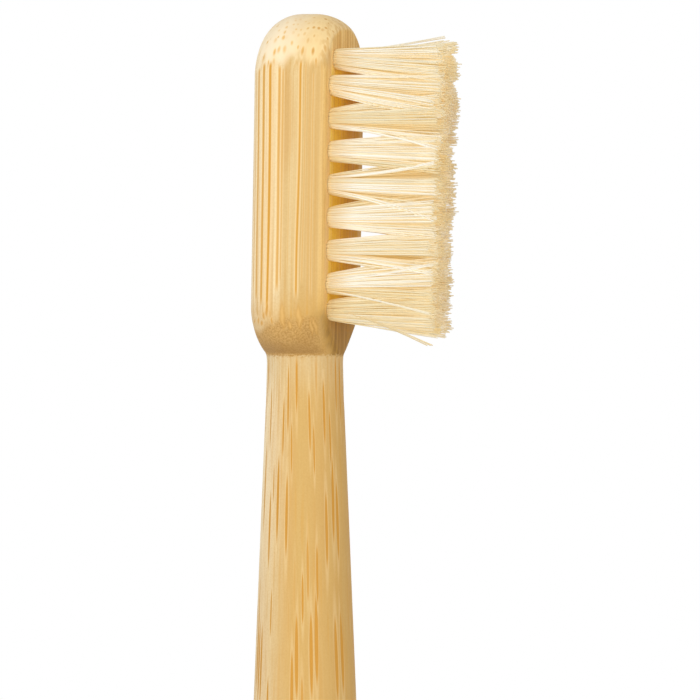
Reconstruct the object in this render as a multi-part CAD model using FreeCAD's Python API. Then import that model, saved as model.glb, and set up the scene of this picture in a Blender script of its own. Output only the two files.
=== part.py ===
import FreeCAD, Part
import math
import os

# A manual toothbrush: a one-piece bamboo handle whose head is drilled with blind holes, and bristle tufts
# that are folded in half over flat metal anchors and driven into those holes.
# Millimetres. +Z runs up the handle to the tip of the head, the bristles point along +X, and the origin is
# the centre of the flat butt of the handle.

# Handle
overall_length = 190.0
grip_radius = 5.9
butt_edge_radius = 3.0
grip_blend_radius = 360.0
neck_radius = 3.17
neck_half_angle = 2.33
neck_straight = 1.6

# Head, measured in its own frame: z up from the neck line, x from the neck's axis
head_lean = 1.0
head_front = 3.2
head_thickness = 6.9
front_edge_radius = 0.9
front_tip_radius = 2.4
back_edge_radius = 2.5
back_tip_radius = 3.2
shoulder_curve_radius = 4.4
shoulder_step = 0.08

# Tuft layout on the head's front face
tuft_rows = 9
tuft_columns = 3
row_pitch = 2.735
end_row_pitch = 2.2
column_pitch = 3.3
first_row_inset = 0.9
last_row_inset = 0.4
tip_margin = 3.82
root_margin = 3.69
side_land = 1.05

# Holes and tufts
hole_diameter = 1.7
back_wall = 2.9
drill_run_out = 1.0
tuft_clearance = 0.03
bristle_length = 9.8
trim_drop = 0.45
tip_gap = 0.2

# Anchors
anchor_thickness = 0.25
anchor_height = 1.5
anchor_bite = 0.2
anchor_slant = 35.0
anchor_clearance = 0.02
fold_height = 0.5

# How curves are drawn: sections along the shoulder and their smoothness, sides round a tuft, and the largest
# share of a wall that a rounding may take
shoulder_sections = 8
shoulder_degree = 3
tuft_sides = 12
fullest_round = 0.98
widest_front_round = 0.4
widest_back_round = 0.5
neck_overlap = 1.0

# Worked out from the sizes above
layout_height = 2 * end_row_pitch + (tuft_rows - 3) * row_pitch
head_length = root_margin + layout_height + tip_margin
head_back = head_front - head_thickness
head_half_width = (tuft_columns - 1) / 2 * column_pitch + hole_diameter / 2 + side_land
neck_line = overall_length - head_length
shoulder_radius = neck_radius + shoulder_step
shoulder_turn = math.acos(1 - (head_half_width - shoulder_radius) / shoulder_curve_radius)
shoulder_height = shoulder_curve_radius * math.sin(shoulder_turn)
hole_depth = head_thickness - back_wall

X_AXIS = FreeCAD.Vector(1, 0, 0)
Y_AXIS = FreeCAD.Vector(0, 1, 0)
Z_AXIS = FreeCAD.Vector(0, 0, 1)
ORIGIN = FreeCAD.Vector(0, 0, 0)
SAME_PLACE = 1e-6

drawing = FreeCAD.newDocument("toothbrush")


def point(x, y, z):
    return FreeCAD.Vector(x, y, z)


def line(start, end):
    return Part.LineSegment(start, end).toShape()


def arc(start, middle, end):
    return Part.Arc(start, middle, end).toShape()


def placed_on_handle(shape):
    """Leans a shape drawn in the head's own frame and sets it on the neck line."""
    shape.rotate(ORIGIN, Y_AXIS, head_lean)
    shape.translate(point(0, 0, neck_line))
    return shape


def make_head_block():
    """The straight part of the head and its full-round tip, with softened front and back rims."""
    spring_z = head_length - head_half_width
    reach = head_half_width * math.sin(math.radians(45))
    low_right = point(head_back, head_half_width, shoulder_height)
    high_right = point(head_back, head_half_width, spring_z)
    tip = point(head_back, 0, head_length)
    high_left = point(head_back, -head_half_width, spring_z)
    low_left = point(head_back, -head_half_width, shoulder_height)
    outline = Part.Wire([
        line(low_left, low_right),
        line(low_right, high_right),
        arc(high_right, point(head_back, reach, spring_z + reach), tip),
        arc(tip, point(head_back, -reach, spring_z + reach), high_left),
        line(high_left, low_left),
    ])
    block = Part.Face(outline).extrude(X_AXIS * head_thickness)
    front_tip = min(front_tip_radius, widest_front_round * head_thickness)
    back_tip = min(back_tip_radius, widest_back_round * head_thickness)
    block = soften_rim(block, "front_rim", head_front, front_edge_radius, front_tip)
    return soften_rim(block, "back_rim", head_back, back_edge_radius, back_tip)


def soften_rim(block, name, x, side_radius, tip_radius):
    """Rounds the rim of the face at x, with a radius that grows from the sides to the tip of the head."""
    plain = drawing.addObject("Part::Feature", name + "_plain")
    plain.Shape = block
    rounded = drawing.addObject("Part::Fillet", name)
    rounded.Base = plain
    radii = []
    for number, edge in enumerate(block.Edges, 1):
        box = edge.BoundBox
        in_face = abs(box.XMin - x) < SAME_PLACE and abs(box.XMax - x) < SAME_PLACE
        if in_face and box.ZMax > shoulder_height + SAME_PLACE:
            ends = [abs(vertex.Z - head_length) < SAME_PLACE for vertex in edge.Vertexes]
            start, end = [tip_radius if at_tip else side_radius for at_tip in ends]
            radii.append((number, start, end))
    rounded.Edges = radii
    drawing.recompute()
    return rounded.Shape


def rounded_section(z, back, front, half_width, back_radius, front_radius):
    """A closed rounded rectangle at height z, with its own radius at the back and at the front."""
    corners = (
        (front - front_radius, half_width - front_radius, front_radius, 0),
        (back + back_radius, half_width - back_radius, back_radius, 90),
        (back + back_radius, back_radius - half_width, back_radius, 180),
        (front - front_radius, front_radius - half_width, front_radius, 270),
    )
    arcs = []
    for x, y, radius, start_angle in corners:
        angles = [math.radians(start_angle + turn) for turn in (0, 45, 90)]
        arcs.append([point(x + radius * math.cos(t), y + radius * math.sin(t), z) for t in angles])
    edges = []
    for index, corner in enumerate(arcs):
        edges.append(arc(*corner))
        edges.append(line(corner[2], arcs[(index + 1) % len(arcs)][0]))
    return Part.Wire(edges)


def make_shoulder():
    """The rounded lower end of the head, which draws in from the straight section to the round neck."""
    sections = []
    for index in range(shoulder_sections + 1):
        share = index / shoulder_sections
        turn = shoulder_turn * share
        draw_in = (1 - math.cos(turn)) / (1 - math.cos(shoulder_turn))
        z = shoulder_height - shoulder_curve_radius * math.sin(turn)
        back = head_back + (-shoulder_radius - head_back) * draw_in
        front = head_front + (shoulder_radius - head_front) * draw_in
        half_width = head_half_width - shoulder_curve_radius * (1 - math.cos(turn))
        widest = fullest_round * min(half_width, (front - back) / 2)
        back_round = back_edge_radius + (widest - back_edge_radius) * share
        front_round = front_edge_radius + (widest - front_edge_radius) * share
        sections.append(rounded_section(z, back, front, half_width, back_round, front_round))
    return Part.makeLoft(sections, True, False, False, shoulder_degree)


def make_neck_and_grip():
    """The turned part of the handle: butt, straight grip, long blend and slender cone up to the head."""
    slope = math.radians(neck_half_angle)
    cone_top = neck_line - neck_straight
    blend_top_radius = grip_radius - grip_blend_radius * (1 - math.cos(slope))
    blend_top = cone_top - (blend_top_radius - neck_radius) / math.tan(slope)
    blend_bottom = blend_top - grip_blend_radius * math.sin(slope)
    half_slope = slope / 2
    blend_middle = point(
        grip_radius - grip_blend_radius * (1 - math.cos(half_slope)),
        0,
        blend_bottom + grip_blend_radius * math.sin(half_slope),
    )
    butt_flat_radius = grip_radius - butt_edge_radius
    butt_reach = butt_edge_radius * math.sin(math.radians(45))
    top = neck_line + neck_overlap
    profile = Part.Wire([
        line(ORIGIN, point(butt_flat_radius, 0, 0)),
        arc(
            point(butt_flat_radius, 0, 0),
            point(butt_flat_radius + butt_reach, 0, butt_edge_radius - butt_reach),
            point(grip_radius, 0, butt_edge_radius),
        ),
        line(point(grip_radius, 0, butt_edge_radius), point(grip_radius, 0, blend_bottom)),
        arc(point(grip_radius, 0, blend_bottom), blend_middle, point(blend_top_radius, 0, blend_top)),
        line(point(blend_top_radius, 0, blend_top), point(neck_radius, 0, cone_top)),
        line(point(neck_radius, 0, cone_top), point(neck_radius, 0, top)),
        line(point(neck_radius, 0, top), point(0, 0, top)),
        line(point(0, 0, top), ORIGIN),
    ])
    return Part.Face(profile).revolve(ORIGIN, Z_AXIS, 360)


def row_heights():
    """Heights of the rows above the neck line, from the tip of the head down."""
    heights = [head_length - tip_margin]
    for row in range(1, tuft_rows):
        end_row = row in (1, tuft_rows - 1)
        heights.append(heights[-1] - (end_row_pitch if end_row else row_pitch))
    return heights


def tufts():
    """Every tuft as its row, column, place on the face, lean at the tip, tip radius and free length."""
    found = []
    for row, z in enumerate(row_heights()):
        inset = {0: first_row_inset, tuft_rows - 1: last_row_inset}.get(row, 0)
        outward = {0: 1, tuft_rows - 1: -1}.get(row, 0)
        spacing = column_pitch - inset
        lean = outward * (row_pitch - end_row_pitch)
        tip_radius = (min(row_pitch, spacing) - tip_gap) / 2
        length = bristle_length - trim_drop * row / (tuft_rows - 1)
        for column in range(tuft_columns):
            y = (column - (tuft_columns - 1) / 2) * spacing
            found.append((row + 1, column + 1, y, z, lean, tip_radius, length))
    return found


def anchor_plate(y, z, clearance):
    """The flat plate that pins one tuft, or the pocket for it when it is given a clearance."""
    width = hole_diameter + 2 * anchor_bite + 2 * clearance
    thickness = anchor_thickness + 2 * clearance
    height = anchor_height + 2 * clearance
    low_x = head_front - hole_depth + fold_height - clearance
    plate = Part.makeBox(height, width, thickness, point(low_x, y - width / 2, z - thickness / 2))
    plate.rotate(point(0, y, z), X_AXIS, anchor_slant)
    return plate


def bundle_ring(x, y, z, radius):
    """Corners of a bundle's section, square to the bristles."""
    turns = [2 * math.pi * (side + 0.5) / tuft_sides for side in range(tuft_sides)]
    return [point(x, y + radius * math.cos(t), z + radius * math.sin(t)) for t in turns]


def make_tuft(y, z, lean, tip_radius, length):
    """A bundle folded over its anchor: a root that fills the hole, and bristles that fan out to the tips."""
    root_radius = hole_diameter / 2 - tuft_clearance
    rings = [
        bundle_ring(head_front - hole_depth, y, z, root_radius),
        bundle_ring(head_front, y, z, root_radius),
        bundle_ring(head_front + length, y, z + lean, tip_radius),
    ]
    walls = [rings[0], rings[-1]]
    for low, high in zip(rings, rings[1:]):
        for side in range(tuft_sides):
            after = (side + 1) % tuft_sides
            walls.append([low[side], low[after], high[after], high[side]])
    faces = [Part.Face(Part.makePolygon(corners + corners[:1])) for corners in walls]
    bundle = Part.makeSolid(Part.makeShell(faces))
    return bundle.cut(anchor_plate(y, z, anchor_clearance))


def make_handle():
    """The bamboo body: drilled head, neck and grip in one piece."""
    cutters = []
    for row, column, y, z, lean, tip_radius, length in tufts():
        bottom = point(head_front - hole_depth, y, z)
        cutters.append(Part.makeCylinder(hole_diameter / 2, hole_depth + drill_run_out, bottom, X_AXIS))
        cutters.append(anchor_plate(y, z, anchor_clearance))
    head = make_head_block().fuse(make_shoulder()).cut(cutters)
    return placed_on_handle(head).fuse(make_neck_and_grip()).removeSplitter()


os.makedirs("parts", exist_ok=True)

make_handle().exportStep("parts/bamboo_handle.step")

anchors = []
for row, column, y, z, lean, tip_radius, length in tufts():
    tuft = placed_on_handle(make_tuft(y, z, lean, tip_radius, length))
    tuft.exportStep(f"parts/tuft_row{row}_column{column}.step")
    anchors.append(placed_on_handle(anchor_plate(y, z, 0)))
Part.makeCompound(anchors).exportStep("parts/tuft_anchors.step")
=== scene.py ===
import math
import random
from collections import namedtuple
from types import SimpleNamespace

import bmesh
import bpy
from mathutils import Matrix, Vector


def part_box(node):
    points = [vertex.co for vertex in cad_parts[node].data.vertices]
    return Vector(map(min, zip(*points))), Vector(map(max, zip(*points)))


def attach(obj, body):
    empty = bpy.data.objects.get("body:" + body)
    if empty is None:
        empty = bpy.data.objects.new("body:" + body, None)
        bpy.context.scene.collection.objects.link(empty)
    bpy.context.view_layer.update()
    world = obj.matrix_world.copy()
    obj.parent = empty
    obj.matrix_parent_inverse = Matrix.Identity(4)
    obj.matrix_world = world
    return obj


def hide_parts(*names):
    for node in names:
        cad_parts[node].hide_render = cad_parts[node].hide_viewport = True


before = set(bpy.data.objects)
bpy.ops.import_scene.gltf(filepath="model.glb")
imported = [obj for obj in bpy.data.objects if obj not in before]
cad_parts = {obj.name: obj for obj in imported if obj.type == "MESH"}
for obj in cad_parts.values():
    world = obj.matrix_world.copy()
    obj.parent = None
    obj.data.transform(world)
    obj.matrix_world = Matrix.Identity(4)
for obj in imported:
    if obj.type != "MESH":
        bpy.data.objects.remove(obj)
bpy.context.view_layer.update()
scene = bpy.context.scene

MM = 0.001

# Handle, as in the solids
HANDLE_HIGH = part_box("bamboo_handle")[1]
OVERALL_LENGTH = HANDLE_HIGH.z
GRIP_RADIUS = HANDLE_HIGH.y
BUTT_EDGE_RADIUS = 3.0 * MM
GRIP_BLEND_RADIUS = 360.0 * MM
NECK_RADIUS = 3.17 * MM
NECK_SLOPE = math.radians(2.33)
NECK_STRAIGHT = 1.6 * MM

# Head, measured from the neck line in its own leaning frame
HEAD_LENGTH = 28.32 * MM
HEAD_LEAN = math.radians(1.0)
HEAD_FRONT = 3.2 * MM
HEAD_THICKNESS = 6.9 * MM
HEAD_HALF_WIDTH = 5.2 * MM
FRONT_EDGE_RADIUS = 0.9 * MM
FRONT_TIP_RADIUS = 3.6 * MM
FRONT_CORNER_RADIUS = 0.8 * MM
FRONT_CORNER_TURN = math.radians(48)
BACK_EDGE_RADIUS = 2.5 * MM
BACK_TIP_RADIUS = 3.2 * MM
SHOULDER_CURVE_RADIUS = 4.4 * MM
SHOULDER_STEP = 0.08 * MM
FOOT_RADIUS = 0.6 * MM
FULLEST_ROUND = 0.98
HOLE_RADIUS = 0.85 * MM
HOLE_DEPTH = 4.0 * MM
DRILL_RUN_OUT = 1.0 * MM

NECK_LINE = OVERALL_LENGTH - HEAD_LENGTH
HEAD_TO_HANDLE = Matrix.Translation((0, 0, NECK_LINE)) @ Matrix.Rotation(HEAD_LEAN, 4, "Y")
HANDLE_TO_HEAD = HEAD_TO_HANDLE.inverted()
HEAD_BACK = HEAD_FRONT - HEAD_THICKNESS
SPRING_HEIGHT = HEAD_LENGTH - HEAD_HALF_WIDTH
SHOULDER_DRAW_IN = HEAD_HALF_WIDTH - (NECK_RADIUS + SHOULDER_STEP)
SHOULDER_TURN = math.acos(1 - SHOULDER_DRAW_IN / SHOULDER_CURVE_RADIUS)
SHOULDER_HEIGHT = SHOULDER_CURVE_RADIUS * math.sin(SHOULDER_TURN)

# How finely the handle is drawn
FILLET_STEPS = 12
SIDE_STEPS = 14
FACE_STEPS = 24
DOME_STEPS = 30
STRAIGHT_STEPS = 26
SHOULDER_STEPS = 22
FOOT_STEPS = 6
NECK_STEP = 2.0 * MM
EVEN_OUT_LENGTH = 10.0 * MM
BUTT_STEPS = 10
DRILL_SIDES = 40
SHARP_ANGLE = math.radians(38)
WELD_DISTANCE = 0.0005 * MM

# Bristles
FILAMENT_RADIUS = 0.046 * MM
FILAMENT_SIDES = 6
FILAMENT_PITCH = 0.099 * MM
ROOT_RADIUS = 0.804 * MM
ANCHOR_SLANT = math.radians(35)
ANCHOR_HALF_THICKNESS = 0.125 * MM
ANCHOR_BOTTOM = 0.5 * MM
ROOT_RINGS = 3
FOLD_RINGS = 3
FREE_RINGS = 9
RING_POWER = 1.7
CLOSE_UP_START = 0.3
TIP_TAPER = 0.55
CLUMPS = 9
CLUMP_TURN = 0.5
GOLDEN_ANGLE = math.pi * (3 - math.sqrt(5))
CLUMP_SPREAD = 2.35
HAIR_SPREAD = 1.8
CLUMP_STRAY = 0.24 * MM
HAIR_STRAY = 0.10 * MM
HAIR_BEND = 0.06 * MM
CLUMP_TONE_SHARE = 0.82
SPLAY_POWER = 0.92
SWELL = 0.08
SWELL_LENGTH = 0.3 * MM
SWELL_START = 0.25 * MM
TRIM_SLANT = 0.20
CLUMP_TRIM = 0.10 * MM
HAIR_TRIM = 0.12 * MM
SHORT_HAIR_SHARE = 0.06
SHORT_HAIR_LOSS = 0.6 * MM
LONG_HAIR_SHARE = 0.03
LONG_HAIR_GAIN = 0.4 * MM
ROW_PUSH = [push * MM for push in (-0.90, -0.95, 0.45, 0.08, -0.02, 0.32, -0.12, 0.55, 0.45)]
SEED = 20

# Wisps that leave their row. Rows count from the tip, and columns from the near side. Heights are over the
# middle of the tuft, at the mouth and at the tip. A tone over 1 paints the hair a darker tan, as painted
# shade.
Wisp = namedtuple("Wisp", "row column up tip_up half_width tone")
WISPS = [Wisp(row, column, up * MM, tip_up * MM, half_width * MM, tone)
         for row, column, up, tip_up, half_width, tone in (
             (1, 2, 0.62, 1.90, 0.04, 0.5),
             (1, 2, 0.50, 1.65, 0.04, 0.5),
             (3, 1, -0.55, -2.40, 0.09, 0.0),
             (5, 1, 0.55, 1.85, 0.08, 0.0),
             (5, 1, -0.50, -2.80, 0.06, 0.0),
             (7, 1, -0.50, -1.80, 0.08, 0.0),
             (8, 1, 0.25, 1.70, 0.06, 0.0),
             (8, 1, -0.60, -2.40, 0.06, 0.5),
             (9, 1, 0.10, -2.75, 0.035, 1.6),
         )]
WISP_POWER = 1.3
WISP_SPREAD = 2.2
WISP_PROUD = 0.25 * MM
WISP_DEPTH = 0.3

# Grain lines on the sides of the head: place from back to front, half width, strength, top and bottom.
# Places in the wood are in millimetres, and heights are over the neck line.
GrainLine = namedtuple("GrainLine", "place half_width strength top bottom")
SIDE_LINES = [GrainLine(*line) for line in (
    (-2.75, 0.06, 0.6, 23.4, 5.5),
    (-2.42, 0.09, 0.8, 23.6, 4.6),
    (-1.89, 0.12, 0.9, 24.0, 4.2),
    (-1.24, 0.13, 1.0, 24.1, 3.4),
    (-0.41, 0.11, 0.8, 23.8, 5.4),
    (-0.12, 0.07, 0.6, 23.5, 6.2),
    (0.55, 0.05, 0.3, 23.0, 7.0),
    (1.36, 0.10, 0.95, 24.2, 4.8),
    (1.86, 0.06, 0.45, 24.0, 6.0),
    (2.63, 0.06, 0.5, 23.2, 5.0),
)]

# Marks on the shoulder where the lines run out: place from back to front, height, half width and half length
Mark = namedtuple("Mark", "place height half_width half_length")
DROPS = [Mark(*mark) for mark in (
    (-2.70, 2.70, 0.08, 0.20),
    (-2.20, 2.75, 0.10, 0.30),
    (-1.86, 2.55, 0.10, 0.25),
    (-1.59, 3.15, 0.15, 0.35),
    (-1.28, 3.60, 0.16, 0.60),
    (-0.70, 2.75, 0.10, 0.35),
)]
FLARES = [Mark(*mark) for mark in (
    (0.04, 3.15, 0.14, 0.95),
    (1.60, 3.05, 0.14, 0.85),
    (0.60, 2.35, 0.14, 0.30),
    (2.40, 2.25, 0.09, 0.60),
    (2.68, 2.30, 0.09, 0.60),
)]

# A duller patch high on the sides
DULL_PATCH = Mark(0.15, 19.5, 0.75, 5.0)

# Noises in the wood, and how far they move what they act on
WANDER = 0.6
WANDER_SCALES = (0.3, 0.3, 0.03)
PATCH_SCALE = 0.7
GRIT_SCALE = 7.0
STRIPE_STRETCH = 0.01
FINE_STRIPE_SCALE = 6.0
COARSE_STRIPE_SCALE = 2.6
BROAD_STRIPE_SCALE = 1.0
FINGER_SCALE = 1.4
FINGER_REACH = 0.36
FOOT_RAGGED = 0.8
BROWN_RAGGED = 1.2
MARK_WAVER = 0.8
SWIRL_SCALE = 0.9
SWIRL_REACH = 8.0
CONTOURS_PER_MM = 1.1
RELIEF_DEPTH = 0.05 * MM
RELIEF_STRENGTH = 0.5
FINE_RELIEF, LINE_RELIEF, ROUGH_RELIEF, CONTOUR_RELIEF = -0.4, -0.6, 0.35, -0.6
WOOD_ROUGHNESS = (0.52, 0.64)
WOOD_SPECULAR = 0.15

# Bundles in the wood and flecks down the neck: the cell that holds one, its radius and how much that varies
BUNDLE_CELL, BUNDLE_RADIUS, BUNDLE_VARIETY = 0.48, 0.18, 0.22
FLECK_CELL, FLECK_RADIUS, FLECK_VARIETY = 0.44, 0.13, 0.18
FLECK_STRETCH = 0.035
LINE_FADE = 0.6
LINE_END = 0.25

# From here on, a pair is where a change begins and where it is complete. First, heights
HEAD_STARTS = (2.0, 4.0)
FIELD_STARTS = (2.5, 4.0)
FIELD_ENDS = (24.5, 23.2)
RIDGE_STARTS = (23.0, 25.0)
BORDERS_START = (4.0, 8.0)
TAN_STARTS = (6.0, 2.5)
SHADE_STARTS = (4.0, 2.5)
FOOT_LINE = (0.10, 0.40)
NECK_COLOURS = (4.0, -6.0)
NECK_CALM = (0.5, -0.5)
FLECKS_START = (0.3, -1.2)
COLLAR_STARTS = (-4.0, -0.5)
SHEEN_STARTS = (-26.0, -6.0)
BROWN_TOPS = (1.8, 2.75)
BROWN_FADE = (1.1, 0.2)

# Places from back to front, and across the face
BACK_PART = (1.0, -3.2)
FRONT_PART = (0.6, 2.8)
DOME_DEPTH = (-1.0, 2.5)
DOME_FRONT = (0.8, 2.2)
BROWN_DEPTH = (-2.4, -0.6)
FACE_SIDES = (3.9, 3.3)
FIELD_WIDTH = (-2.5, 4.0)

# How far the surface faces out of the front, to a side, or up
FORWARD = (0.45, 0.85)
FLAT_FRONT = (0.90, 0.99)
EDGE_FACING = (0.45, 0.75)
SHADE_FACING = (0.62, 1.0)
RIDGE_FACING = (0.30, 0.65)
SIDE_FACING = (0.25, 0.6)
FLANK_FACING = (0.2, 0.5)
DOME_TOP = (0.5, 0.95)
BUNDLES_END = (-0.25, -0.05)
UNDERSIDE = (-0.50, -0.80)
LONG_GRAIN = (0.30, 0.15)
END_GRAIN = (0.12, 0.40)

# Values of the noises and chances
BROAD_STRIPES = (0.38, 0.62)
FINE_STRIPES = (0.48, 0.70)
ARCH_STRIPES = (0.42, 0.60)
SHADE_STRIPES = (0.40, 0.60)
RIDGE_STRIPES = (0.46, 0.60)
GRIT_SPOTS = (0.35, 0.75)
BROWN_SPOTS = (0.35, 0.65)
ROUGH_SPOTS = (0.3, 0.7)
BUNDLE_CHANCE = (0.25, 0.85)
FLECK_CHANCE = (0.15, 0.55)

# Distances from the middle of a line or mark, in its own half widths
BUNDLE_CORE = (1.25, 0.25)
BUNDLE_BORDER = (2.2, 1.2)
LINE_CORE = (1.5, 0.4)
LINE_BORDER = (3.2, 1.4)
FLECK_CORE = (1.15, 0.75)
FLECK_BORDER = (2.0, 1.1)
MARK_CORE = (1.5, 0.2)
MARK_RIM = (2.6, 1.0)
CONTOUR_WIDTH = (0.20, 0.04)

# How much of the bundles, borders, painted back sheen and stripes a zone leaves or takes away
BUNDLE_LEAST = 0.1
FORWARD_CALM, CALM_LOSS, TOP_BACK_LOSS = 0.7, 0.75, 0.5
CROWN_BORDER_LOSS = 0.65
FLECK_BORDER_LEFT = 0.4
LOW_SHEEN_LEFT = 0.55
NECK_STRIPE_LOSS = 0.35

# Filaments: tones, depth in the tuft, shares of the free length, and where across the head the tips turn tan,
# darker in the far columns as painted shade
CREAM_TONES = (0.1, 1.0)
SHADED_TONES = (1.0, 2.0)
EVEN_TONES = (0.0, 0.1)
DEEP_HAIRS = (0.0, 0.5)
OUTER_SPAN = (0.45, 0.80)
ROOT_SPAN = (0.30, 0.0)
MOUTH_SPAN = (0.05, 0.0)
TIP_SPAN = (0.90, 1.0)
FAR_TIP_SHADE = (-3.4 * MM, -1.8 * MM)
HAIR_ROUGHNESS = 0.4
HAIR_SPECULAR = 0.12
HAIR_LIGHT_SHARE = 0.975
WIRE_GRAIN_SCALE = 6.0
WIRE_ROUGHNESS, WIRE_ROUGHNESS_RANGE = 0.25, 0.2

# Camera and light. A lamp stands to the right of the photo's middle, above it and nearer to the viewer.
Lamp = namedtuple("Lamp", "name right up nearer size power")
LAMPS = [
    Lamp("key", -0.42, 0.38, 0.60, 0.60, 4.0),
    Lamp("fill", 0.62, 0.20, 0.69, 0.50, 2.9),
]
AMBIENT = 0.42
FLOOR_SIDE = 4.0
FLOOR_ROUGHNESS = 0.9
BOUNCES = 12
DIFFUSE_BOUNCES = 8
TRANSPARENT_BOUNCES = 128
CLIP_START = 0.01
VIEW_AZIMUTH = math.radians(19.7)
VIEW_DISTANCE = 0.70
PHOTO_SIZE = 700
PIXELS_PER_METRE = 12000
NECK_PIXEL_X = 305
TOP_PIXEL_Y = 14
SENSOR_WIDTH = 36.0


def srgb(red, green, blue):
    """A colour given in 0 to 255 display values, as the linear colour that nodes take."""
    def linear(value):
        share = value / 255
        return share / 12.92 if share <= 0.04045 else ((share + 0.055) / 1.055) ** 2.4
    return (linear(red), linear(green), linear(blue), 1.0)


def mix(low, high, share):
    return low + (high - low) * share


def middle(values):
    return (min(values) + max(values)) / 2


def smooth_step(low, high, value):
    share = min(1.0, max(0.0, (value - low) / (high - low)))
    return share * share * (3 - 2 * share)


def add_object(name, data):
    thing = bpy.data.objects.new(name, data)
    scene.collection.objects.link(thing)
    return thing


def arc_points(centre, radius, start, end, steps):
    """Points on an arc in a plane, both ends included."""
    found = []
    for step in range(steps + 1):
        angle = mix(start, end, step / steps)
        found.append((centre[0] + radius * math.cos(angle), centre[1] + radius * math.sin(angle)))
    return found


# Colours of the wood. Where one is laid over others, its share is how far it takes them.
HEAD_PALE, NECK_PALE = srgb(227, 202, 151), srgb(211, 173, 105)
HEAD_DUSKY, NECK_DUSKY = srgb(215, 180, 118), srgb(210, 168, 98)
# Painted sheen: the back of the wood is painted paler, less so low down the grip.
PAINTED_BACK_SHEEN, BACK_SHEEN_SHARE = srgb(255, 238, 202), 0.9
# Painted shade: the front of the wood is painted darker.
PAINTED_FRONT_SHADE, FRONT_SHADE_SHARE = srgb(208, 166, 98), 0.5
DULL_TAN, DULL_SHARE = srgb(205, 156, 86), 0.45
# Painted bounce light from the bristles on the face between the tufts, with painted shade darker towards the
# far side.
NEAR_BOUNCE_GOLD, FAR_BOUNCE_SHADE_GOLD, BOUNCE_GOLD_SHARE = srgb(255, 226, 86), srgb(234, 184, 36), 0.8
# Painted bounce light from the bristles along the front edge beside the tufts.
EDGE_BOUNCE_GOLD, EDGE_BOUNCE_SHARE = srgb(248, 208, 130), 0.5
ARCH_PALE, ARCH_DARK, ARCH_SHARE = srgb(248, 210, 132), srgb(232, 186, 106), 0.85
SHOULDER_TAN, SHOULDER_SHARE = srgb(208, 158, 74), 0.5
# Painted shadow of the bristles on the front of the shoulder.
BRISTLE_SHADOW_PALE, BRISTLE_SHADOW_DARK, BRISTLE_SHADOW_SHARE = srgb(164, 122, 46), srgb(130, 92, 28), 0.8
COLLAR_CREAM, COLLAR_SHARE = srgb(217, 193, 146), 0.5
STRIPE_TAN, STRIPE_SHARE = srgb(208, 162, 90), 0.65
# Cream of the dome's end grain, painted paler at its back as a sheen.
DOME_CREAM_WITH_SHEEN, DOME_FRONT_CREAM, DOME_SHARE = srgb(250, 232, 200), srgb(246, 216, 158), 0.75
GRIT_TAN, GRIT_SHARE = srgb(196, 148, 80), 0.2
BORDER_CREAM, BORDER_SHARE = srgb(248, 222, 170), 0.6
RIDGE_TAN, RIDGE_SHARE = srgb(208, 156, 80), 0.4
LINE_AMBER = srgb(212, 154, 60)
DOT_BACK, DOT_FRONT = srgb(230, 185, 112), srgb(210, 158, 82)
FLECK_AMBER = srgb(205, 148, 62)
BROWN_PALE, BROWN_DARK, BROWN_SHARE = srgb(211, 167, 100), srgb(188, 143, 79), 0.85
CONTOUR_BROWN, CONTOUR_SHARES = srgb(174, 124, 59), (0.1, 0.5)
# Painted shade where the shoulder faces down.
UNDERSIDE_PAINTED_SHADE, UNDERSIDE_SHADE_SHARE = srgb(168, 126, 72), 0.6
DROP_RIM, DROP_RIM_SHARE = srgb(240, 206, 146), 0.25
DROP_AMBER, DROP_SHARE = srgb(208, 150, 64), 0.75
FLARE_RIM, FLARE_RIM_SHARE = srgb(204, 152, 76), 0.45
FLARE_GOLD, FLARE_SHARE = srgb(232, 188, 114), 0.55

# Colours of the filaments, the light that passes through them, the anchors and the floor
# The darkest tan, for hairs with a tone over 1, is painted shade.
HAIR_WHITE, HAIR_CREAM, HAIR_SHADED_TAN = srgb(248, 246, 238), srgb(232, 219, 182), srgb(206, 172, 112)
# Painted golden shade on the hairs deep inside a tuft.
HAIR_DEEP_SHADE, DEEP_SHADE_SHARE = srgb(235, 218, 175), 0.6
HAIR_OUTER, OUTER_SHARE = srgb(237, 222, 185), 0.25
# Painted golden shade at the roots of the tufts.
HAIR_ROOT_SHADE, ROOT_SHADE_SHARE = srgb(229, 202, 140), 0.7
# Painted light at the mouth of the hole, against the shade there.
HAIR_MOUTH_LIGHT, MOUTH_LIGHT_SHARE = srgb(252, 230, 172), 0.85
# Tips turn tan, and more so in the far columns as painted shade.
HAIR_TIP_TAN_AND_SHADE, TIP_TAN_AND_SHADE_SHARES = srgb(229, 204, 149), (0.2, 0.75)
HAIR_LIGHT = srgb(255, 253, 248)
WIRE_PALE, WIRE_DARK = srgb(212, 178, 110), srgb(176, 140, 78)
FLOOR_WHITE = srgb(243, 243, 242)


# Handle

def half_profile(back, front, half_width, back_round, front_round, corner_round):
    """One side of a rounded rectangle as (x, y), from its back flat to its front flat.

    The front edge is a wide arc that turns into a tighter one before it meets the front flat.
    """
    back_arc = arc_points(
        (back + back_round, half_width - back_round), back_round, math.pi, math.pi / 2, FILLET_STEPS)
    spare = front_round - corner_round
    corner = (front - corner_round, half_width - front_round + spare * math.sin(FRONT_CORNER_TURN))
    wide = (corner[0] - spare * math.cos(FRONT_CORNER_TURN), half_width - front_round)
    front_arc = arc_points(wide, front_round, math.pi / 2, FRONT_CORNER_TURN, FILLET_STEPS)
    front_arc += arc_points(corner, corner_round, FRONT_CORNER_TURN, 0, FILLET_STEPS)[1:]
    side = [(mix(back_arc[-1][0], front_arc[0][0], step / SIDE_STEPS), half_width)
            for step in range(1, SIDE_STEPS)]
    return back_arc + side + front_arc


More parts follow.
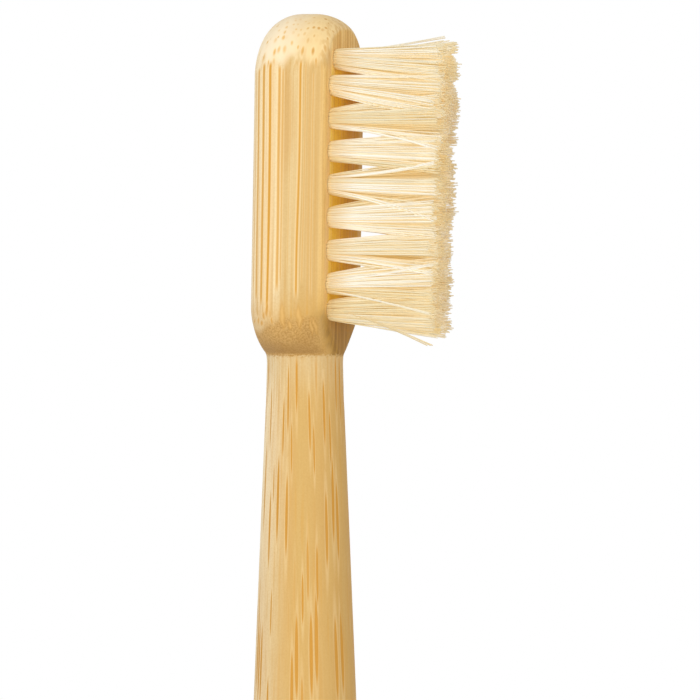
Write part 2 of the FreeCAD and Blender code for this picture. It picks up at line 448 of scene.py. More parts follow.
def head_ring(profile, turn, z):
    """A closed ring round the head. turn is 90 degrees where the sides are straight and 0 at the very tip."""
    right = [Vector((x, y * math.sin(turn), z + y * math.cos(turn))) for x, y in profile]
    left = [Vector((p.x, -p.y, p.z)) for p in right]
    steps = [step / FACE_STEPS for step in range(1, FACE_STEPS)]
    front_row = [right[-1].lerp(left[-1], share) for share in steps]
    back_row = [left[0].lerp(right[0], share) for share in steps]
    return [HEAD_TO_HANDLE @ p for p in right + front_row + left[::-1] + back_row]


def dome_rings():
    rings = []
    for step in range(DOME_STEPS + 1):
        share = step / DOME_STEPS
        profile = half_profile(
            HEAD_BACK, HEAD_FRONT, HEAD_HALF_WIDTH,
            mix(BACK_TIP_RADIUS, BACK_EDGE_RADIUS, share),
            mix(FRONT_TIP_RADIUS, FRONT_EDGE_RADIUS, share),
            mix(FRONT_CORNER_RADIUS, FRONT_EDGE_RADIUS, share),
        )
        rings.append(head_ring(profile, share * math.pi / 2, SPRING_HEIGHT))
    return rings


def straight_rings():
    profile = half_profile(
        HEAD_BACK, HEAD_FRONT, HEAD_HALF_WIDTH, BACK_EDGE_RADIUS, FRONT_EDGE_RADIUS, FRONT_EDGE_RADIUS)
    heights = [mix(SPRING_HEIGHT, SHOULDER_HEIGHT, step / STRAIGHT_STEPS)
               for step in range(1, STRAIGHT_STEPS)]
    return [head_ring(profile, math.pi / 2, z) for z in heights]


def shoulder_outline():
    """Half width and height down the shoulder: an arc inwards, then a small hollow one onto the neck."""
    wide = (HEAD_HALF_WIDTH - SHOULDER_CURVE_RADIUS, SHOULDER_HEIGHT)
    between = SHOULDER_CURVE_RADIUS + FOOT_RADIUS
    foot_x = NECK_RADIUS + FOOT_RADIUS
    end = math.acos((foot_x - wide[0]) / between)
    foot = (foot_x, wide[1] - between * math.sin(end))
    outline = arc_points(wide, SHOULDER_CURVE_RADIUS, 0, -end, SHOULDER_STEPS)
    return outline + arc_points(foot, FOOT_RADIUS, math.pi - end, math.pi, FOOT_STEPS)[1:]


def shoulder_rings():
    outline = shoulder_outline()
    rings = []
    for half_width, z in outline:
        draw_in = (HEAD_HALF_WIDTH - half_width) / (HEAD_HALF_WIDTH - NECK_RADIUS)
        share = (outline[0][1] - z) / (outline[0][1] - outline[-1][1])
        back = mix(HEAD_BACK, -NECK_RADIUS, draw_in)
        front = mix(HEAD_FRONT, NECK_RADIUS, draw_in)
        widest = FULLEST_ROUND * min(half_width, (front - back) / 2)
        front_round = mix(FRONT_EDGE_RADIUS, widest, math.sin(share * math.pi / 2))
        profile = half_profile(
            back, front, half_width, mix(BACK_EDGE_RADIUS, widest, share), front_round, front_round)
        rings.append(head_ring(profile, math.pi / 2, z))
    return rings


def turned_profile():
    """Radius and height down the turned part, from below the neck line to the rim of the butt."""
    cone_top = NECK_LINE - NECK_STRAIGHT
    blend_top_radius = GRIP_RADIUS - GRIP_BLEND_RADIUS * (1 - math.cos(NECK_SLOPE))
    blend_top = cone_top - (blend_top_radius - NECK_RADIUS) / math.tan(NECK_SLOPE)
    blend_bottom = blend_top - GRIP_BLEND_RADIUS * math.sin(NECK_SLOPE)

    def radius_at(z):
        if z >= cone_top:
            return NECK_RADIUS
        if z >= blend_top:
            return NECK_RADIUS + (cone_top - z) * math.tan(NECK_SLOPE)
        if z >= blend_bottom:
            turn = math.asin((z - blend_bottom) / GRIP_BLEND_RADIUS)
            return GRIP_RADIUS - GRIP_BLEND_RADIUS * (1 - math.cos(turn))
        return GRIP_RADIUS

    first = NECK_LINE - NECK_STRAIGHT / 2
    steps = round((first - BUTT_EDGE_RADIUS) / NECK_STEP)
    heights = [mix(first, BUTT_EDGE_RADIUS, step / steps) for step in range(steps + 1)]
    profile = [(radius_at(z), z) for z in heights]
    rim = arc_points((GRIP_RADIUS - BUTT_EDGE_RADIUS, BUTT_EDGE_RADIUS), BUTT_EDGE_RADIUS,
                     0, -math.pi / 2, BUTT_STEPS)
    return profile + rim[1:]


def turned_rings(shoulder_ring):
    """Round rings whose points start in line with the shoulder's and even out further down."""
    flat_ring = [HANDLE_TO_HEAD @ p for p in shoulder_ring]
    angles = [math.atan2(p.y, p.x) for p in flat_ring]
    for index in range(1, len(angles)):
        while angles[index] > angles[index - 1]:
            angles[index] -= 2 * math.pi
    count = len(angles)
    even = [angles[0] - 2 * math.pi * index / count for index in range(count)]
    rings = []
    for radius, z in turned_profile():
        share = smooth_step(0, EVEN_OUT_LENGTH, NECK_LINE - z)
        turns = [mix(a, b, share) for a, b in zip(angles, even)]
        rings.append([Vector((radius * math.cos(a), radius * math.sin(a), z)) for a in turns])
    return rings


def skin_rings(rings, name):
    """A closed mesh through rings of equal length. The last ring is closed by one flat face."""
    count = len(rings[0])
    points = [p for ring in rings for p in ring]
    faces = []
    for low in range(len(rings) - 1):
        for index in range(count):
            after = (index + 1) % count
            start, end = low * count, (low + 1) * count
            faces.append((start + index, start + after, end + after, end + index))
    faces.append([(len(rings) - 1) * count + index for index in range(count)])
    mesh = bpy.data.meshes.new(name)
    mesh.from_pydata(points, [], faces)
    build = bmesh.new()
    build.from_mesh(mesh)
    bmesh.ops.remove_doubles(build, verts=build.verts, dist=WELD_DISTANCE)
    bmesh.ops.recalc_face_normals(build, faces=build.faces)
    build.to_mesh(mesh)
    build.free()
    return mesh


def drill_mesh(places):
    """All the drills in one mesh, one closed cylinder along the bristles for each tuft."""
    build = bmesh.new()
    for y, z in places:
        turn = Matrix.Rotation(math.pi / 2, 4, "Y")
        depth = HOLE_DEPTH + DRILL_RUN_OUT
        place = Matrix.Translation((HEAD_FRONT - HOLE_DEPTH + depth / 2, y, z))
        bmesh.ops.create_cone(
            build, cap_ends=True, segments=DRILL_SIDES, radius1=HOLE_RADIUS, radius2=HOLE_RADIUS,
            depth=depth, matrix=HEAD_TO_HANDLE @ place @ turn)
    mesh = bpy.data.meshes.new("drills")
    build.to_mesh(mesh)
    build.free()
    return mesh


def make_handle(places):
    shoulder = shoulder_rings()
    rings = dome_rings() + straight_rings() + shoulder + turned_rings(shoulder[-1])
    handle = add_object("bamboo_body", skin_rings(rings, "bamboo_body"))
    drills = add_object("drills", drill_mesh(places))
    cut = handle.modifiers.new("holes", "BOOLEAN")
    cut.operation = "DIFFERENCE"
    cut.solver = "EXACT"
    cut.object = drills
    seen = handle.evaluated_get(bpy.context.evaluated_depsgraph_get())
    drilled = bpy.data.meshes.new_from_object(seen)
    handle.modifiers.clear()
    handle.data = drilled
    bpy.data.objects.remove(drills)
    drilled.shade_smooth()
    drilled.set_sharp_from_angle(angle=SHARP_ANGLE)
    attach(handle, "root")
    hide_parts("bamboo_handle")
    return handle


# Bristles

Tuft = namedtuple("Tuft", "name row column y z lean length")


def tuft_layout():
    """Each tuft's place on the head's face, lean at the tips and free length, read from its node."""
    found = []
    for name, node in sorted(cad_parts.items()):
        if not name.startswith("tuft_row"):
            continue
        points = [HANDLE_TO_HEAD @ v.co for v in node.data.vertices]
        low_x, high_x = min(p.x for p in points), max(p.x for p in points)
        root = [p for p in points if p.x < low_x + FILAMENT_RADIUS]
        tip = [p for p in points if p.x > high_x - FILAMENT_RADIUS]
        y, z = middle([p.y for p in root]), middle([p.z for p in root])
        lean = middle([p.z for p in tip]) - z
        row, column = [int(part) for part in name.removeprefix("tuft_row").split("_column")]
        found.append(Tuft(name, row, column, y, z, lean, high_x - HEAD_FRONT))
    return found


def root_places():
    """Where filaments stand on one side of the anchor, as (along the plate, away from it)."""
    row_pitch = FILAMENT_PITCH * math.sqrt(3) / 2
    first = ANCHOR_HALF_THICKNESS + FILAMENT_RADIUS
    rows = int((ROOT_RADIUS - first) / row_pitch) + 1
    found = []
    for row in range(rows):
        away = first + row * row_pitch
        half = math.sqrt(max(0.0, ROOT_RADIUS ** 2 - away ** 2))
        shift = (row % 2) * FILAMENT_PITCH / 2
        steps = int(half / FILAMENT_PITCH) + 1
        for step in range(-steps, steps + 1):
            along = step * FILAMENT_PITCH + shift
            if abs(along) <= half:
                found.append((along, away))
    return found


def closed_up(along, away):
    """Where a filament stands at the mouth of the hole: the gap that the anchor leaves has closed there."""
    first = ANCHOR_HALF_THICKNESS
    side = math.copysign(1, away)
    return along, side * (abs(away) - first) * ROOT_RADIUS / (ROOT_RADIUS - first)


Clump = namedtuple("Clump", "centre stray trim tone")


def make_clumps(dice):
    """Small bundles that filaments gather into, each with its centre, lean, trim and tone."""
    clumps = []
    for index in range(CLUMPS):
        reach = ROOT_RADIUS * math.sqrt((index + 0.5) / CLUMPS)
        turn = index * GOLDEN_ANGLE + dice.uniform(-CLUMP_TURN, CLUMP_TURN)
        centre = Vector((reach * math.cos(turn), reach * math.sin(turn)))
        stray = Vector((dice.gauss(0, CLUMP_STRAY), dice.gauss(0, CLUMP_STRAY)))
        clumps.append(Clump(centre, stray, dice.gauss(0, CLUMP_TRIM), dice.random()))
    return clumps


def wisp_at(mouth, tuft):
    """The wisp that a filament on the near face of a tuft belongs to, or None."""
    if mouth.x > -WISP_DEPTH * ROOT_RADIUS:
        return None
    for wisp in WISPS:
        same_tuft = (wisp.row, wisp.column) == (tuft.row, tuft.column)
        if same_tuft and abs(mouth.y - wisp.up) < wisp.half_width:
            return wisp
    return None


def leg_path(dice, root, clumps, tuft, near_y):
    """One leg of a filament from the anchor to its tip, with x out of the face, and its tone."""
    along, away = root
    turned = Matrix.Rotation(ANCHOR_SLANT, 2)
    deep = turned @ Vector((along, away))
    mouth = turned @ Vector(closed_up(along, away))
    clump = min(clumps, key=lambda clump: (clump.centre - mouth).length)
    tip = clump.centre * CLUMP_SPREAD + (mouth - clump.centre) * HAIR_SPREAD + clump.stray
    push = tuft.lean + ROW_PUSH[tuft.row - 1]
    tip += Vector((dice.gauss(0, HAIR_STRAY), dice.gauss(0, HAIR_STRAY) + push))
    tone = mix(dice.random(), clump.tone, CLUMP_TONE_SHARE)
    power = SPLAY_POWER
    wisp = wisp_at(mouth, tuft)
    if wisp:
        tip = Vector((mouth.x * CLUMP_SPREAD - WISP_PROUD, wisp.tip_up + (mouth.y - wisp.up) * WISP_SPREAD))
        tone = wisp.tone
        power = WISP_POWER
    bend = Vector((dice.gauss(0, HAIR_BEND), dice.gauss(0, HAIR_BEND)))
    reach = tuft.length - TRIM_SLANT * (tuft.y - near_y) + clump.trim - abs(dice.gauss(0, HAIR_TRIM))
    if dice.random() < SHORT_HAIR_SHARE:
        reach -= dice.uniform(0, SHORT_HAIR_LOSS)
    elif dice.random() < LONG_HAIR_SHARE:
        reach += dice.uniform(0, LONG_HAIR_GAIN)
    points = []
    anchor_x = ANCHOR_BOTTOM - HOLE_DEPTH
    for ring in range(ROOT_RINGS):
        share = ring / ROOT_RINGS
        across = deep.lerp(mouth, smooth_step(CLOSE_UP_START, 1, share))
        points.append(Vector((mix(anchor_x, 0, share), across.x, across.y)))
    for ring in range(FREE_RINGS + 1):
        share = (ring / FREE_RINGS) ** RING_POWER
        swell = SWELL * (1 - share) * (1 - math.exp(-(reach * share + SWELL_START) / SWELL_LENGTH))
        across = mouth.lerp(tip, share ** power) + mouth * swell + bend * math.sin(math.pi * share)
        points.append(Vector((reach * share, across.x, across.y)))
    return points, tone


def fold_path(root):
    """The bend under the anchor that joins a filament's two legs."""
    along, away = root
    depth = (ANCHOR_BOTTOM - FILAMENT_RADIUS) * away / ROOT_RADIUS
    turned = Matrix.Rotation(ANCHOR_SLANT, 2)
    points = []
    for ring in range(1, FOLD_RINGS + 1):
        turn = math.pi * ring / (FOLD_RINGS + 1)
        across = turned @ Vector((along, away * math.cos(turn)))
        points.append(Vector((ANCHOR_BOTTOM - HOLE_DEPTH - depth * math.sin(turn), across.x, across.y)))
    return points


def tube_rings(path):
    """Rings of points round a path, with rounded ends."""
    rounded = [path[0] + (path[0] - path[1]).normalized() * FILAMENT_RADIUS]
    rounded += path
    rounded.append(path[-1] + (path[-1] - path[-2]).normalized() * FILAMENT_RADIUS)
    tip_radius = FILAMENT_RADIUS * TIP_TAPER
    radii = [tip_radius] + [FILAMENT_RADIUS] * len(path) + [tip_radius]
    rings = []
    sideways = Vector((0, 0, 1))
    for index, centre in enumerate(rounded):
        before = rounded[max(0, index - 1)]
        after = rounded[min(len(rounded) - 1, index + 1)]
        direction = (after - before).normalized()
        sideways = (sideways - direction * sideways.dot(direction)).normalized()
        other = direction.cross(sideways)
        ring = []
        for side in range(FILAMENT_SIDES):
            turn = 2 * math.pi * side / FILAMENT_SIDES
            ring.append(centre + (sideways * math.cos(turn) + other * math.sin(turn)) * radii[index])
        rings.append(ring)
    return rings


class FilamentMesh:
    """Gathers filaments into one mesh, with each one's strip of the texture map, tone, length and depth."""

    CAP_ROOM = 0.01
    CAP_REACH = 0.4

    def __init__(self, filaments):
        self.filaments = filaments
        self.made = 0
        self.points, self.faces, self.corners = [], [], []
        self.tones, self.shares, self.depths = [], [], []

    def add(self, rings, tones, shares, depth):
        start = len(self.points)
        last = len(rings) - 1
        for ring, tone, share in zip(rings, tones, shares):
            self.points += ring
            self.tones += [tone] * FILAMENT_SIDES
            self.shares += [share] * FILAMENT_SIDES
            self.depths += [depth] * FILAMENT_SIDES
        for step in range(last):
            low, high = start + step * FILAMENT_SIDES, start + (step + 1) * FILAMENT_SIDES
            ends = [mix(self.CAP_ROOM, 1 - self.CAP_ROOM, (step + more) / last) for more in (0, 1)]
            for side in range(FILAMENT_SIDES):
                after = (side + 1) % FILAMENT_SIDES
                self.faces.append((low + side, low + after, high + after, high + side))
                edges = [(self.made + (side + more) / FILAMENT_SIDES) / self.filaments for more in (0, 1)]
                for end, edge in ((0, 0), (0, 1), (1, 1), (1, 0)):
                    self.corners.append((ends[end], edges[edge]))
        self.add_cap(start, 0.5 * self.CAP_ROOM, -1)
        self.add_cap(start + last * FILAMENT_SIDES, 1 - 0.5 * self.CAP_ROOM, 1)
        self.made += 1

    def add_cap(self, start, along, way):
        order = range(FILAMENT_SIDES)[::way]
        self.faces.append([start + side for side in order])
        for side in order:
            turn = 2 * math.pi * side / FILAMENT_SIDES
            across = (self.made + 0.5 + self.CAP_REACH * math.sin(turn)) / self.filaments
            self.corners.append((along + self.CAP_REACH * self.CAP_ROOM * math.cos(turn), across))

    def finish(self, name):
        mesh = bpy.data.meshes.new(name)
        mesh.from_pydata(self.points, [], self.faces)
        for key, values in (("tone", self.tones), ("along", self.shares), ("inside", self.depths)):
            mesh.attributes.new(key, "FLOAT", "POINT").data.foreach_set("value", values)
        strips = mesh.uv_layers.new(name="OFBake")
        strips.data.foreach_set("uv", [value for corner in self.corners for value in corner])
        mesh.shade_smooth()
        return mesh


def make_tuft(number, tuft, near_y):
    dice = random.Random(SEED + number)
    clumps = make_clumps(dice)
    place = HEAD_TO_HANDLE @ Matrix.Translation((HEAD_FRONT, tuft.y, tuft.z))
    roots = root_places()
    hairs = FilamentMesh(len(roots))
    for along, away in roots:
        one, one_tone = leg_path(dice, (along, away), clumps, tuft, near_y)
        other, other_tone = leg_path(dice, (along, -away), clumps, tuft, near_y)
        rings = tube_rings(one[::-1] + fold_path((along, away)) + other)
        tones = [one_tone if step < len(rings) / 2 else other_tone for step in range(len(rings))]
        shares = [max(0.0, ring[0].x / tuft.length) for ring in rings]
        inside = 1 - (along ** 2 + away ** 2) / ROOT_RADIUS ** 2
        hairs.add([[place @ p for p in ring] for ring in rings], tones, shares, inside)
    name = tuft.name.replace("tuft", "bristles")
    piece = add_object(name, hairs.finish(name))
    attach(piece, "root")
    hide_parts(tuft.name)
    return piece


# Materials

class Nodes:
    """Nodes of a material or world, built from calls that take a plain value or another node's output."""

    def __init__(self, owner):
        owner.use_nodes = True
        self.owner = owner
        self.tree = owner.node_tree
        self.surface = self.tree.nodes.get("Principled BSDF")

    def outputs(self, kind, inputs=None, **settings):
        """Adds a node and returns its outputs."""
        node = self.tree.nodes.new("ShaderNode" + kind)
        for key, value in settings.items():
            setattr(node, key, value)
        self.feed(node, inputs or {})
        return node.outputs

    def add(self, kind, inputs=None, output=0, **settings):
        return self.outputs(kind, inputs, **settings)[output]

    def feed(self, node, inputs):
        for key, value in inputs.items():
            if isinstance(value, bpy.types.NodeSocket):
                self.tree.links.new(value, node.inputs[key])
            else:
                node.inputs[key].default_value = value

    def math(self, operation, first, second=0.0, third=0.0):
        return self.add("Math", {0: first, 1: second, 2: third}, operation=operation)

    def times(self, first, *others):
        for other in others:
            first = self.math("MULTIPLY", first, other)
        return first

    def highest(self, first, *others):
        for other in others:
            first = self.math("MAXIMUM", first, other)
        return first

    def size(self, value):
        return self.math("ABSOLUTE", value)

    def scaled(self, value, factor, plus):
        return self.math("MULTIPLY_ADD", value, factor, plus)

    def without(self, zone, share=1.0):
        """1 outside a zone, and less by the share inside it."""
        return self.scaled(zone, -share, 1.0)

    def blend(self, share, first, second):
        return self.add("Mix", {0: share, 6: first, 7: second}, output=2, data_type="RGBA")

    def tint(self, colour, other, *shares):
        """A colour taken part of the way to another one. The part is the product of the shares."""
        return self.blend(self.times(*shares), colour, other)

    def ramp(self, value, span, to_low=0.0, to_high=1.0):
        low, high = span
        inputs = {"Value": value, "From Min": low, "From Max": high, "To Min": to_low, "To Max": to_high}
        return self.add("MapRange", inputs, interpolation_type="SMOOTHSTEP")

    def noise(self, vector, scale, detail=2.0, output="Fac"):
        inputs = {"Vector": vector, "Scale": scale, "Detail": detail}
        return self.add("TexNoise", inputs, output=output, noise_dimensions="3D")

    def place(self, x, y, z):
        return self.add("CombineXYZ", {0: x, 1: y, 2: z})

    def parts(self, vector):
        return list(self.outputs("SeparateXYZ", {0: vector}))


def wood_place(nodes):
    """Where a point of the wood is, in millimetres across and along the fibres, and which way it faces.

    Fibres run up the blank, lean with the head and wander a little.
    """
    coordinates = nodes.outputs("TexCoord")
    whole = coordinates["Object"]
    x, y, z = [nodes.times(part, 1 / MM) for part in nodes.parts(whole)]
    off_middle = nodes.size(y)
    height = nodes.math("SUBTRACT", z, NECK_LINE / MM)
    x = nodes.math("SUBTRACT", x, nodes.times(nodes.highest(height, 0.0), math.tan(HEAD_LEAN)))
    slow = [nodes.times(part, scale) for part, scale in zip((x, y, z), WANDER_SCALES)]
    wander = nodes.parts(nodes.noise(nodes.place(*slow), 1.0, output="Color"))
    x = nodes.scaled(wander[0], WANDER, x)
    y = nodes.scaled(wander[1], WANDER, y)
    outward, sideward, upward = nodes.parts(coordinates["Normal"])
    return SimpleNamespace(
        whole=whole, x=x, y=y, z=z, height=height, off_middle=off_middle,
        outward=outward, sideward=nodes.size(sideward), upward=upward)


def add_noises(nodes, wood):
    """Adds uneven patches, fine grit, and stripes of three widths along the fibres."""
    wood.patchy = nodes.noise(wood.whole, PATCH_SCALE / MM)
    wood.grit = nodes.noise(wood.whole, GRIT_SCALE / MM, detail=3.0)
    place = nodes.place(wood.x, wood.y, nodes.times(wood.z, STRIPE_STRETCH))
    wood.fine = nodes.noise(place, FINE_STRIPE_SCALE)
    wood.coarse = nodes.noise(place, COARSE_STRIPE_SCALE)
    wood.broad = nodes.noise(place, BROAD_STRIPE_SCALE, detail=1.0)


def add_zones(nodes, wood):
    """Adds which parts of the handle a point is on. Each zone is 1 inside, 0 outside and fades between."""
    wood.forward = nodes.ramp(wood.outward, FORWARD)
    wood.face = nodes.times(nodes.ramp(wood.outward, FLAT_FRONT), nodes.ramp(wood.off_middle, FACE_SIDES))
    wood.beside = nodes.times(nodes.ramp(wood.sideward, SIDE_FACING), nodes.ramp(wood.height, HEAD_STARTS))
    wood.among = nodes.times(nodes.ramp(wood.height, FIELD_STARTS), nodes.ramp(wood.height, FIELD_ENDS))
    wood.on_neck = nodes.ramp(wood.height, NECK_COLOURS)
    wood.ragged = nodes.scaled(wood.grit, FOOT_RAGGED, wood.height)
    wood.on_shoulder = nodes.ramp(wood.ragged, FOOT_LINE)

    # The end grain of the dome and the long grain of the sides meet in uneven fingers
    fingers = nodes.noise(nodes.place(wood.x, wood.y, 0.0), FINGER_SCALE, detail=1.0)
    tilt = nodes.scaled(fingers, FINGER_REACH, nodes.math("SUBTRACT", wood.upward, FINGER_REACH / 2))
    wood.sideways = nodes.ramp(nodes.size(tilt), LONG_GRAIN)
    wood.crown = nodes.ramp(tilt, END_GRAIN)


def scattered(nodes, place, cell, radius, variety):
    """Grains scattered in a plane: how many radii away the nearest one is, and a chance of its own."""
    inputs = {"Vector": place, "Scale": 1 / cell}
    cells = nodes.outputs("TexVoronoi", inputs, voronoi_dimensions="2D")
    luck = nodes.parts(cells["Color"])
    reach = nodes.scaled(luck[1], variety, radius)
    return nodes.math("DIVIDE", cells["Distance"], reach), luck[0]


def bundles(nodes, wood):
    """Vascular bundles, lines on the sides and dots where the dome cuts across, and paler borders."""
    place = nodes.place(wood.x, wood.y, 0.0)
    off, chance = scattered(nodes, place, BUNDLE_CELL, BUNDLE_RADIUS, BUNDLE_VARIETY)
    top_back = nodes.times(nodes.ramp(wood.upward, DOME_TOP), nodes.ramp(wood.x, DOME_FRONT[::-1]))
    calm = nodes.highest(nodes.times(wood.beside, wood.sideways), nodes.ramp(wood.height, NECK_CALM),
                         nodes.times(wood.forward, FORWARD_CALM))
    strength = nodes.times(
        nodes.ramp(chance, BUNDLE_CHANCE, BUNDLE_LEAST), nodes.ramp(wood.upward, BUNDLES_END),
        nodes.without(top_back, TOP_BACK_LOSS), nodes.without(calm, CALM_LOSS))
    core = nodes.times(nodes.ramp(off, BUNDLE_CORE), strength)
    border = nodes.times(
        nodes.ramp(off, BUNDLE_BORDER), strength, nodes.ramp(wood.height, BORDERS_START),
        nodes.without(wood.crown, CROWN_BORDER_LOSS))
    return core, border


def side_grooves(nodes, wood):
    """Bundles that lie open along the sides of the head, and paler borders."""
    core, border = 0.0, 0.0
    for line in SIDE_LINES:
        off = nodes.math("DIVIDE", nodes.size(nodes.math("SUBTRACT", wood.x, line.place)), line.half_width)
        starts = nodes.ramp(wood.height, (line.bottom - LINE_FADE, line.bottom + LINE_FADE))
        ends = nodes.ramp(wood.height, (line.top + LINE_END, line.top - LINE_END))
        run = nodes.times(nodes.math("MINIMUM", starts, ends), line.strength, wood.beside)
        core = nodes.highest(core, nodes.times(nodes.ramp(off, LINE_CORE), run))
        border = nodes.highest(border, nodes.times(nodes.ramp(off, LINE_BORDER), run))
    return core, border


def neck_flecks(nodes, wood):
    """Slim tapered streaks down the neck and grip, and paler borders."""
    around = nodes.times(nodes.math("ARCTAN2", wood.y, wood.x), NECK_RADIUS / MM)
    place = nodes.place(around, nodes.times(wood.z, FLECK_STRETCH), 0.0)
    off, chance = scattered(nodes, place, FLECK_CELL, FLECK_RADIUS, FLECK_VARIETY)
    shown = nodes.times(nodes.ramp(chance, FLECK_CHANCE), nodes.ramp(wood.height, FLECKS_START))
    core = nodes.times(nodes.ramp(off, FLECK_CORE), shown)
    border = nodes.times(nodes.ramp(off, FLECK_BORDER), shown, FLECK_BORDER_LEFT)
    return core, border


def marks(nodes, places, x, height):
    """Pointed marks that stand upright on the sides of the head: their cores and their rims."""
    core, rim = 0.0, 0.0
    for mark in places:
        across = nodes.math("DIVIDE", nodes.math("SUBTRACT", x, mark.place), mark.half_width)
        along = nodes.math("DIVIDE", nodes.math("SUBTRACT", height, mark.height), mark.half_length)
        off = nodes.scaled(along, along, nodes.size(across))
        core = nodes.highest(core, nodes.ramp(off, MARK_CORE))
        rim = nodes.highest(rim, nodes.ramp(off, MARK_RIM))
    return core, rim


def base_colour(nodes, wood):
    """Painted sheen paler at the back and painted shade at the front, painted bounce light and shade golden
    between the tufts, painted shadow under them, tan over the shoulder, and cream on the dome with a painted
    sheen at its back.
    """
    pale = nodes.blend(wood.on_neck, HEAD_PALE, NECK_PALE)
    dusky = nodes.blend(wood.on_neck, HEAD_DUSKY, NECK_DUSKY)
    colour = nodes.blend(nodes.ramp(wood.broad, BROAD_STRIPES), pale, dusky)
    # Painted sheen: paler towards the back, less so low down the grip.
    colour = nodes.tint(colour, PAINTED_BACK_SHEEN, nodes.ramp(wood.x, BACK_PART), BACK_SHEEN_SHARE,
                        nodes.ramp(wood.height, SHEEN_STARTS, LOW_SHEEN_LEFT))
    # Painted shade: darker towards the front.
    colour = nodes.tint(colour, PAINTED_FRONT_SHADE, nodes.ramp(wood.x, FRONT_PART), FRONT_SHADE_SHARE)
    dull, _ = marks(nodes, [DULL_PATCH], wood.x, wood.height)
    colour = nodes.tint(colour, DULL_TAN, dull, wood.beside, DULL_SHARE)
    # Painted bounce light from the bristles between the tufts, darker towards the far side as painted shade.
    bounce_gold = nodes.blend(nodes.ramp(wood.y, FIELD_WIDTH), NEAR_BOUNCE_GOLD, FAR_BOUNCE_SHADE_GOLD)
    colour = nodes.tint(colour, bounce_gold, wood.face, wood.among, BOUNCE_GOLD_SHARE)
    # Painted bounce light from the bristles on the front edge, only beside the tufts.
    colour = nodes.tint(colour, EDGE_BOUNCE_GOLD, nodes.ramp(wood.outward, EDGE_FACING), wood.among,
                        nodes.without(wood.face), EDGE_BOUNCE_SHARE)
    arch = nodes.blend(nodes.ramp(wood.coarse, ARCH_STRIPES), ARCH_PALE, ARCH_DARK)
    colour = nodes.tint(colour, arch, wood.face, nodes.ramp(wood.height, FIELD_ENDS[::-1]), ARCH_SHARE)
    colour = nodes.tint(colour, SHOULDER_TAN, nodes.ramp(wood.height, TAN_STARTS), wood.on_shoulder,
                        SHOULDER_SHARE)
    # Painted shadow of the bristles on the front of the shoulder, streaked.
    bristle_shadow = nodes.blend(nodes.ramp(wood.coarse, SHADE_STRIPES), BRISTLE_SHADOW_PALE, BRISTLE_SHADOW_DARK)
    colour = nodes.tint(colour, bristle_shadow, nodes.ramp(wood.outward, SHADE_FACING),
                        nodes.ramp(wood.height, SHADE_STARTS), wood.on_shoulder, BRISTLE_SHADOW_SHARE)
    collar = nodes.math("MINIMUM", nodes.ramp(wood.height, COLLAR_STARTS),
                        nodes.ramp(wood.ragged, FOOT_LINE[::-1]))
    colour = nodes.tint(colour, COLLAR_CREAM, collar, COLLAR_SHARE)
    colour = nodes.tint(colour, STRIPE_TAN, nodes.ramp(wood.fine, FINE_STRIPES), wood.sideways,
                        nodes.scaled(wood.on_neck, -NECK_STRIPE_LOSS, STRIPE_SHARE))
    # Dome cream, with a painted sheen at its back.
    dome_cream_and_sheen = nodes.blend(nodes.ramp(wood.x, DOME_DEPTH), DOME_CREAM_WITH_SHEEN, DOME_FRONT_CREAM)
    colour = nodes.tint(colour, dome_cream_and_sheen, wood.crown, DOME_SHARE)
    return nodes.tint(colour, GRIT_TAN, nodes.ramp(wood.grit, GRIT_SPOTS), GRIT_SHARE,
                      nodes.without(wood.crown))


def grain_colour(nodes, wood, colour):
    """Lays bundles, grooves and flecks over a colour. Returns it with where they are."""
    bundle, bundle_border = bundles(nodes, wood)
    groove, groove_border = side_grooves(nodes, wood)
    fleck, fleck_border = neck_flecks(nodes, wood)
    border = nodes.highest(bundle_border, groove_border, fleck_border)
    colour = nodes.tint(colour, BORDER_CREAM, border, BORDER_SHARE)
    colour = nodes.tint(colour, RIDGE_TAN, nodes.ramp(wood.outward, RIDGE_FACING),
                        nodes.ramp(wood.height, RIDGE_STARTS),
                        nodes.ramp(wood.coarse, RIDGE_STRIPES), RIDGE_SHARE)
    line = nodes.highest(bundle, groove)
    dot_colour = nodes.blend(nodes.ramp(wood.x, DOME_FRONT), DOT_BACK, DOT_FRONT)
    colour = nodes.tint(colour, nodes.blend(wood.crown, LINE_AMBER, dot_colour), line)
    colour = nodes.tint(colour, FLECK_AMBER, fleck)
    return colour, nodes.highest(line, fleck)


